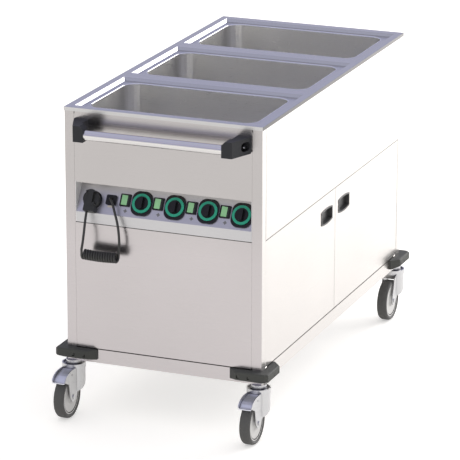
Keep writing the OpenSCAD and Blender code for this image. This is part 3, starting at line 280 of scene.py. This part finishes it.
LOOKS = {node: look for look, names in (
    (side_steel, "chassis_frame corner_posts left_panel right_upper_panel rear_panel "
                 "front_upper_panel front_lower_panel door_front door_rear door_hinges"),
    (inner_steel, "base_panel middle_deck cupboard_liner shelf"),
    (slope_steel, "control_panel"), (top_steel, "top_frame"),
    (well_steel, "well_front well_middle well_rear"), (heater_skin, "heaters"),
    (cream, "thermostats"), (seal_black, "door_front_seal door_rear_seal"),
    (pull_grey, "door_front_pull door_rear_pull door_catches"), (bar_metal, "handle_bar"),
    (bracket_black, "handle_brackets"), (bumper_grey, "corner_bumpers"),
    (zinc, "caster_mounts"), (pedal_zinc, "brake_pedal_left brake_pedal_right"),
    (plate_mix, "knob_plates"), (plug_black, "plug"),
    (black, "switch_frames parking_socket cable_gland knob_1 knob_2 knob_3 knob_4"),
    (cord_black, "cord_left cord_coil cord_right"),
) for node in names.split()}

# Painted shade in the ball race's groove round each swivel, and painted shade in the gap round
# each wheel's disc
RACE_IN, RACE_OUT, RACE_DEPTH, RACE_GROOVE_SHADE = 0.0225, 0.0303, 0.0035, (0.26, 0.26, 0.27)
GAP_IN, GAP_OUT, GAP_SHADE_BLACK = 0.0448, 0.0474, (0.03, 0.03, 0.03)
for place, (sx, sy) in CASTERS.items():
    swivel = (sx * CASTER_X, sy * CASTER_Y + SHIFT, BELL_TOP)
    axle = (swivel[0], swivel[1] - TRAIL, WHEEL_R)
    # painted shade in the race groove on the fork's zinc
    LOOKS["fork_" + place] = two_tone(
        zinc_plate("zinc_fork_" + place), RACE_GROOVE_SHADE,
        both(round_mask(swivel, (0, 0, 1), RACE_IN, RACE_OUT),
             plane_mask((0, 0, BELL_TOP - RACE_DEPTH), (0, 0, 1))))
    # painted shade in the gap round the wheel's disc
    LOOKS["wheel_" + place] = two_tone(
        material("wheel_plastic_" + place, (0.67, 0.665, 0.655), 0.42, grain=500, bump=0.15,
                 tint=0.05),
        GAP_SHADE_BLACK, round_mask(axle, (1, 0, 0), GAP_IN, GAP_OUT))
    LOOKS["tyre_" + place] = tyre_grey

# Green rockers, with painted shade along their right side, and dark along their upper and lower
# sides where the black frame's border shows
LENS_RIGHT, LENS_HIGH, LENS_LOW, LENS_SHADE_AND_BORDER = 0.0055, 0.0606, 0.0315, (0.012, 0.02, 0.012)
for i, x in enumerate(SWITCHES):
    lens = material("rocker_lens_%d" % (i + 1), (0.34, 0.70, 0.36), 0.22, grain=60, bump=0.05,
                    tint=0.12)
    # The right mask paints shade; the upper and lower masks widen the frame's black border
    for point, normal in ((on_slope(x + LENS_RIGHT, 0), (1, 0, 0)),
                          (on_slope(0, LENS_HIGH), (0, SIN, COS)),
                          (on_slope(0, LENS_LOW), (0, -SIN, -COS))):
        two_tone(lens, LENS_SHADE_AND_BORDER, plane_mask(point, normal))
    LOOKS["rocker_%d" % (i + 1)] = lens

for name, obj in nodes.items():
    obj.data.materials.clear()
    obj.data.materials.append(LOOKS[name])


# ---------------------------------------------------------------- tools for pieces
def piece(name, bm, mat, smooth=True):
    """A new piece on the trolley's body, with its finish."""
    mesh = bpy.data.meshes.new(name)
    bmesh.ops.recalc_face_normals(bm, faces=bm.faces)
    bm.to_mesh(mesh)
    bm.free()
    o = bpy.data.objects.new(name, mesh)
    scene.collection.objects.link(o)
    if smooth:
        for p in mesh.polygons:
            p.use_smooth = True
    mesh.materials.append(mat)
    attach(o, "trolley")


def catmull(points, steps):
    """Points on a smooth curve through the given ones."""
    out = []
    for i in range(len(points) - 1):
        a = points[max(i - 1, 0)]
        b, c = points[i], points[i + 1]
        d = points[min(i + 2, len(points) - 1)]
        for k in range(steps):
            t = k / steps
            out.append(0.5 * ((2 * b) + (c - a) * t + (2 * a - 5 * b + 4 * c - d) * t * t
                              + (3 * b - a - 3 * c + d) * t ** 3))
    return out + [points[-1]]


def rounded(half_a, half_b, corner, steps):
    """Places along a rounded rectangle about the origin of its own plane."""
    out = []
    for sa, sb, start in ((1, 1, 0), (-1, 1, 90), (-1, -1, 180), (1, -1, 270)):
        for k in range(steps + 1):
            a = math.radians(start + 90 * k / steps)
            out.append((sa * (half_a - corner) + corner * math.cos(a),
                        sb * (half_b - corner) + corner * math.sin(a)))
    return out


def circle(bm, centre, radius, u, w, sides):
    """A ring of corners round a centre, in the plane of u and w."""
    turns = [2 * math.pi * k / sides for k in range(sides)]
    return [bm.verts.new(centre + radius * (math.cos(a) * u + math.sin(a) * w)) for a in turns]


def bridge(bm, rings, closed=False):
    """Faces from each ring of corners to the next, and from the last to the first if closed."""
    for a, b in zip(rings, rings[1:] + (rings[:1] if closed else [])):
        for k in range(len(a)):
            after = (k + 1) % len(a)
            bm.faces.new((a[k], b[k], b[after], a[after]))


def sweep_loop(bm, path, radius, sides=10):
    """A round rod along a closed level path."""
    rings = []
    for i, p in enumerate(path):
        u = (path[(i + 1) % len(path)] - path[i - 1]).normalized().cross(UP).normalized()
        rings.append(circle(bm, p, radius, u, UP, sides))
    bridge(bm, rings, closed=True)


def turned(bm, base, axis, profile, sides=32):
    """A profile of (height, radius) pairs turned round an axis, closed at both ends."""
    axis = Vector(axis).normalized()
    u = axis.orthogonal().normalized()
    rings = [circle(bm, Vector(base) + h * axis, r, u, axis.cross(u), sides) for h, r in profile]
    bridge(bm, rings)
    bm.faces.new(list(reversed(rings[0])))
    bm.faces.new(rings[-1])


def block(bm, centre, size, axes=(Vector((1, 0, 0)), Vector((0, 1, 0)), UP)):
    """A box about a centre, along three axes."""
    vs = {(i, j, k): bm.verts.new(Vector(centre) + axes[0] * (i * size[0] / 2)
                                  + axes[1] * (j * size[1] / 2) + axes[2] * (k * size[2] / 2))
          for i in (-1, 1) for j in (-1, 1) for k in (-1, 1)}
    for f in (((-1, -1, -1), (-1, 1, -1), (1, 1, -1), (1, -1, -1)),
              ((-1, -1, 1), (1, -1, 1), (1, 1, 1), (-1, 1, 1)),
              ((-1, -1, -1), (1, -1, -1), (1, -1, 1), (-1, -1, 1)),
              ((-1, 1, -1), (-1, 1, 1), (1, 1, 1), (1, 1, -1)),
              ((-1, -1, -1), (-1, -1, 1), (-1, 1, 1), (-1, 1, -1)),
              ((1, -1, -1), (1, 1, -1), (1, 1, 1), (1, -1, 1))):
        bm.faces.new([vs[c] for c in f])


# ---------------------------------------------------------------- lead, gland to plug
# Places across, in front of the front face and above the slope's lower edge, as in the source
LEFT = [(-0.2235, 0.025, -0.0135), (-0.2228, 0.032, -0.0305), (-0.2222, 0.039, -0.0485),
        (-0.2219, 0.045, -0.0645), (-0.2225, 0.0495, -0.0795)]
RIGHT = [(-0.1204, 0.028, -0.0835), (-0.1202, 0.027, -0.0725), (-0.1222, 0.024, -0.0525),
         (-0.1257, 0.0205, -0.0325), (-0.1297, 0.0177, -0.0165), (-0.1344, 0.015, -0.002),
         (-0.139, 0.0125, 0.0105), (-0.1436, 0.0095, 0.0225), (-0.1473, 0.007, 0.0315),
         (-0.151, 0.004, 0.0396), (-0.1545, 0.0022, 0.0427), (-0.158, -0.0007, 0.0448),
         (-0.161, -0.0043, 0.0454)]
COIL_START, COIL_END = Vector((-0.224, 0.040, -0.1095)), Vector((-0.122, 0.040, -0.1095))
TURNS, TURN_STEPS, CURL_R, SAG, LEAD_R = 13.5, 24, 0.012, 0.002, 0.0035
SPLINE_STEPS, LEAVE_NEAR, LEAVE_FAR = 5, 0.010, 0.017
GLAND_X, GLAND_V, GLAND_IN, GLAND_OUT = -0.1625, 0.042, 0.009, 0.016
PLUG_X, PLUG_LOW, PLUG_HIGH, PLUG_OUT = -0.224, -0.0085, -0.0015, 0.016


def hung(p):
    """A place of the lead in the row frame."""
    return Vector((p[0], FRONT - p[1], NOTCH_Z + p[2]))


def curl(s):
    """A place on the coil, from 0 at its left end to 1 at its right."""
    a = 2 * math.pi * TURNS * s
    return hung(COIL_START.lerp(COIL_END, s)) + Vector(
        (0, -CURL_R * math.cos(a), -CURL_R * math.sin(a) - SAG * math.sin(math.pi * s)))


gland_end = [on_slope(GLAND_X, GLAND_V, GLAND_IN), on_slope(GLAND_X, GLAND_V, GLAND_OUT)]
plug_end = [on_slope(PLUG_X, PLUG_LOW, PLUG_OUT), on_slope(PLUG_X, PLUG_HIGH, PLUG_OUT)]
coil_steps = round(TURNS * TURN_STEPS)
right = catmull(gland_end + [hung(p) for p in reversed(RIGHT)]
                + [curl(1) + UP * LEAVE_FAR, curl(1) + UP * LEAVE_NEAR, curl(1)], SPLINE_STEPS)
curls = [curl(1 - k / coil_steps) for k in range(1, coil_steps)]
left = catmull([curl(0), curl(0) + UP * LEAVE_NEAR, curl(0) + UP * LEAVE_FAR]
               + [hung(p) for p in reversed(LEFT)] + plug_end, SPLINE_STEPS)
path = right + curls + left
curve = bpy.data.curves.new("lead", "CURVE")
curve.dimensions = "3D"
curve.bevel_depth = LEAD_R
curve.bevel_resolution = 3
curve.use_fill_caps = True
line = curve.splines.new("POLY")
line.points.add(len(path) - 1)
for q, p in zip(line.points, path):
    q.co = (*p, 1)
lead = bpy.data.objects.new("lead", curve)
scene.collection.objects.link(lead)
curve.materials.append(cord_black)
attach(lead, "trolley")
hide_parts("cord_left", "cord_coil", "cord_right")

# ---------------------------------------------------------------- other pieces
# Rolled edges round the wells
EDGE_HALF_W, EDGE_HALF_L, EDGE_CORNER, EDGE_STEPS = 0.2515, 0.1495, 0.0445, 10
EDGE_R, EDGE_DROP = 0.0025, 0.0022
for name, y in WELLS.items():
    loop = [Vector((a, y + b, LEDGE - EDGE_DROP))
            for a, b in rounded(EDGE_HALF_W, EDGE_HALF_L, EDGE_CORNER, EDGE_STEPS)]
    bm = bmesh.new()
    sweep_loop(bm, loop, EDGE_R)
    piece("well_edge_" + name, bm, rolled_steel)

# Softened edges of the folded and moulded nodes: width, segments and nodes
SOFT_ANGLE = math.radians(35)
for width, segments, names in (
        (0.0018, 3, "handle_brackets"), (0.0012, 2, "corner_bumpers"),
        (0.0010, 2, "plug cable_gland"), (0.0005, 2, "brake_pedal_left brake_pedal_right"),
        (0.0006, 2, "knob_1 knob_2 knob_3 knob_4 switch_frames door_front_pull door_rear_pull "
                    "front_upper_panel front_lower_panel control_panel left_panel "
                    "right_upper_panel rear_panel corner_posts door_front door_rear "
                    "chassis_frame")):
    for name in names.split():
        m = nodes[name].modifiers.new("soft_edges", "BEVEL")
        m.width, m.segments, m.limit_method, m.angle_limit = width, segments, "ANGLE", SOFT_ANGLE
        m.harden_normals = False

# Boss, screw and oval mouth in the pocket of each of the bar's brackets. The profiles are
# height and radius, the mouth's rings are depth, half length, half height and corner radius.
POCKET_X, POCKET_DEPTH, POCKET_Z = 0.2425, 0.006, 0.8405
BOSS = [(-0.001, 0.0085), (0.006, 0.0078), (0.0075, 0.0070), (0.0075, 0.0052), (0.0045, 0.0050)]
SCREW = [(0.0046, 0.0044), (0.0066, 0.0044), (0.0080, 0.0034), (0.0086, 0.0015)]
MOUTH_X, MOUTH_DEPTH, MOUTH_Z, MOUTH_STEPS = 0.25505, 0.0255, 0.8475, 6
WALL_X, WALL_Y = 0.0275, 0.070      # the run of the bracket's outer wall
MOUTH = ((-0.0030, 0.0213, 0.0192, 0.0008), (-0.0002, 0.0213, 0.0192, 0.0008),
         (-0.0002, 0.0178, 0.0130, 0.0120), (-0.0030, 0.0170, 0.0122, 0.0114))
for name, sx in (("left", -1), ("right", 1)):
    foot = (sx * POCKET_X, FRONT - POCKET_DEPTH, POCKET_Z)
    bm = bmesh.new()
    turned(bm, foot, (0, -1, 0), BOSS)
    piece("bracket_boss_" + name, bm, bracket_black)
    bm = bmesh.new()
    turned(bm, foot, (0, -1, 0), SCREW)
    piece("bracket_screw_" + name, bm, screw_metal)
    along = Vector((sx * WALL_X, WALL_Y, 0)).normalized()
    outward = Vector((sx * WALL_Y, -WALL_X, 0)).normalized()
    mouth = Vector((sx * MOUTH_X, FRONT - MOUTH_DEPTH, MOUTH_Z))
    bm = bmesh.new()
    bridge(bm, [[bm.verts.new(mouth + along * a + UP * b + outward * depth)
                 for a, b in rounded(half_l, half_h, corner, MOUTH_STEPS)]
                for depth, half_l, half_h, corner in MOUTH], closed=True)
    piece("bracket_mouth_" + name, bm, bracket_black, smooth=False)

# The panel's folded edges, as they show in the seams beside the front posts
SEAM_X, SEAM_DEPTH, SEAM_Z, SEAM_SIZE = 0.265, 0.0011, 0.545, (0.0019, 0.0010, 0.676)
bm = bmesh.new()
for sx in (-1, 1):
    block(bm, (sx * SEAM_X, FRONT + SEAM_DEPTH, SEAM_Z), SEAM_SIZE)
piece("front_seams", bm, side_steel, smooth=False)

# A disc with a cross under each switch, and a pale tab under the gland
slope_axes = (Vector((1, 0, 0)), Vector((0, SIN, COS)), Vector((0, -COS, SIN)))
MARK_X, MARK_V, MARK_SIDES = 0.0045, 0.0162, 20
DISC = [(-0.0004, 0.0038), (0.0003, 0.0038), (0.0005, 0.0034)]
ARMS = (0.0110, 0.0025, 0.0008), (0.0025, 0.0110, 0.0008)
TAB_PLACE, TAB_SIZE = (-0.1640, 0.0240, 0.0006), (0.015, 0.0050, 0.0014)
bm = bmesh.new()
for x in SWITCHES:
    turned(bm, on_slope(x + MARK_X, MARK_V), slope_axes[2], DISC, MARK_SIDES)
    for arm in ARMS:
        block(bm, on_slope(x + MARK_X, MARK_V), arm, slope_axes)
piece("switch_marks", bm, mark_grey, smooth=False)
bm = bmesh.new()
block(bm, on_slope(*TAB_PLACE), TAB_SIZE, slope_axes)
piece("pale_tab", bm, tab_cream, smooth=False)

# ---------------------------------------------------------------- studio
# A pale floor, which the camera and reflections see brighter than it is lit
FLOOR_HALF, FLOOR_COLOUR, FLOOR_GLOW = 40, (0.90, 0.885, 0.87), 0.45
WHITE = (1, 1, 1, 1)
floor_mesh = bpy.data.meshes.new("floor")
floor_mesh.from_pydata([(sx * FLOOR_HALF, sy * FLOOR_HALF, 0)
                        for sx, sy in ((-1, -1), (1, -1), (1, 1), (-1, 1))], [], [(0, 1, 2, 3)])
floor = bpy.data.objects.new("floor", floor_mesh)
scene.collection.objects.link(floor)
floor_look = bpy.data.materials.new("floor")
floor_look.use_nodes = True
t = floor_look.node_tree
matt = t.nodes["Principled BSDF"]
matt.inputs["Base Color"].default_value = (*FLOOR_COLOUR, 1)
matt.inputs["Roughness"].default_value = 0.9
matt.inputs["Specular IOR Level"].default_value = 0.0
ray = shader(t, "ShaderNodeLightPath")
seen = shader(t, "ShaderNodeMath", operation="MAXIMUM")
strength = shader(t, "ShaderNodeMath", {1: FLOOR_GLOW}, operation="MULTIPLY")
glow = shader(t, "ShaderNodeEmission", {"Color": WHITE})
add = shader(t, "ShaderNodeAddShader")
links(t, (ray.outputs["Is Camera Ray"], seen.inputs[0]),
      (ray.outputs["Is Glossy Ray"], seen.inputs[1]), (seen.outputs[0], strength.inputs[0]),
      (strength.outputs[0], glow.inputs["Strength"]), (matt.outputs[0], add.inputs[0]),
      (glow.outputs[0], add.inputs[1]),
      (add.outputs[0], t.nodes["Material Output"].inputs["Surface"]))
floor_mesh.materials.append(floor_look)

# A world that lights evenly, reflects in bands by height and is white behind the object
EVEN_LIGHT = (0.74, 0.735, 0.73, 1)
BANDS = ((0.0, (0.98, 0.95, 0.93)), (0.10, (0.82, 0.80, 0.82)), (0.27, (0.44, 0.46, 0.68)),
         (0.42, (0.46, 0.47, 0.66)), (0.62, (0.62, 0.60, 0.72)), (0.80, (0.52, 0.54, 0.80)),
         (1.0, (0.62, 0.63, 0.70)))
world = bpy.data.worlds.new("studio")
scene.world = world
world.use_nodes = True
t = world.node_tree
co = shader(t, "ShaderNodeTexCoord")
direction = shader(t, "ShaderNodeSeparateXYZ")
ramp = shader(t, "ShaderNodeValToRGB")
for height, colour in BANDS[1:-1]:
    ramp.color_ramp.elements.new(height)
for stop, (height, colour) in zip(ramp.color_ramp.elements, BANDS):
    stop.position, stop.color = height, (*colour, 1)
ray = shader(t, "ShaderNodeLightPath")
sky = shader(t, "ShaderNodeMix", data_type="RGBA")
sky.inputs["A"].default_value = EVEN_LIGHT
behind = shader(t, "ShaderNodeMix", data_type="RGBA")
behind.inputs["B"].default_value = WHITE
links(t, (co.outputs["Generated"], direction.inputs[0]),
      (direction.outputs["Z"], ramp.inputs["Fac"]), (ramp.outputs["Color"], sky.inputs["B"]),
      (ray.outputs["Is Glossy Ray"], sky.inputs["Factor"]),
      (sky.outputs["Result"], behind.inputs["A"]),
      (ray.outputs["Is Camera Ray"], behind.inputs["Factor"]),
      (behind.outputs["Result"], t.nodes["Background"].inputs["Color"]))
t.nodes["Background"].inputs["Strength"].default_value = 1.0

# One large soft lamp, from behind on the doors' side
LAMP_PLACE, LAMP_AIM, LAMP_POWER = (2.6, 4.9, 1.8), (0.2, 0.2, 0.5), 250
lamp = bpy.data.lights.new("right_box", "AREA")
lamp.shape = "RECTANGLE"
lamp.size, lamp.size_y, lamp.energy, lamp.color = 4.4, 3.5, LAMP_POWER, (1, 0.99, 0.98)
lamp_object = bpy.data.objects.new("right_box", lamp)
scene.collection.objects.link(lamp_object)
lamp_object.location = LAMP_PLACE
lamp_object.rotation_mode = "QUATERNION"
lamp_object.rotation_quaternion = (Vector(LAMP_AIM) - Vector(LAMP_PLACE)).to_track_quat("-Z", "Y")
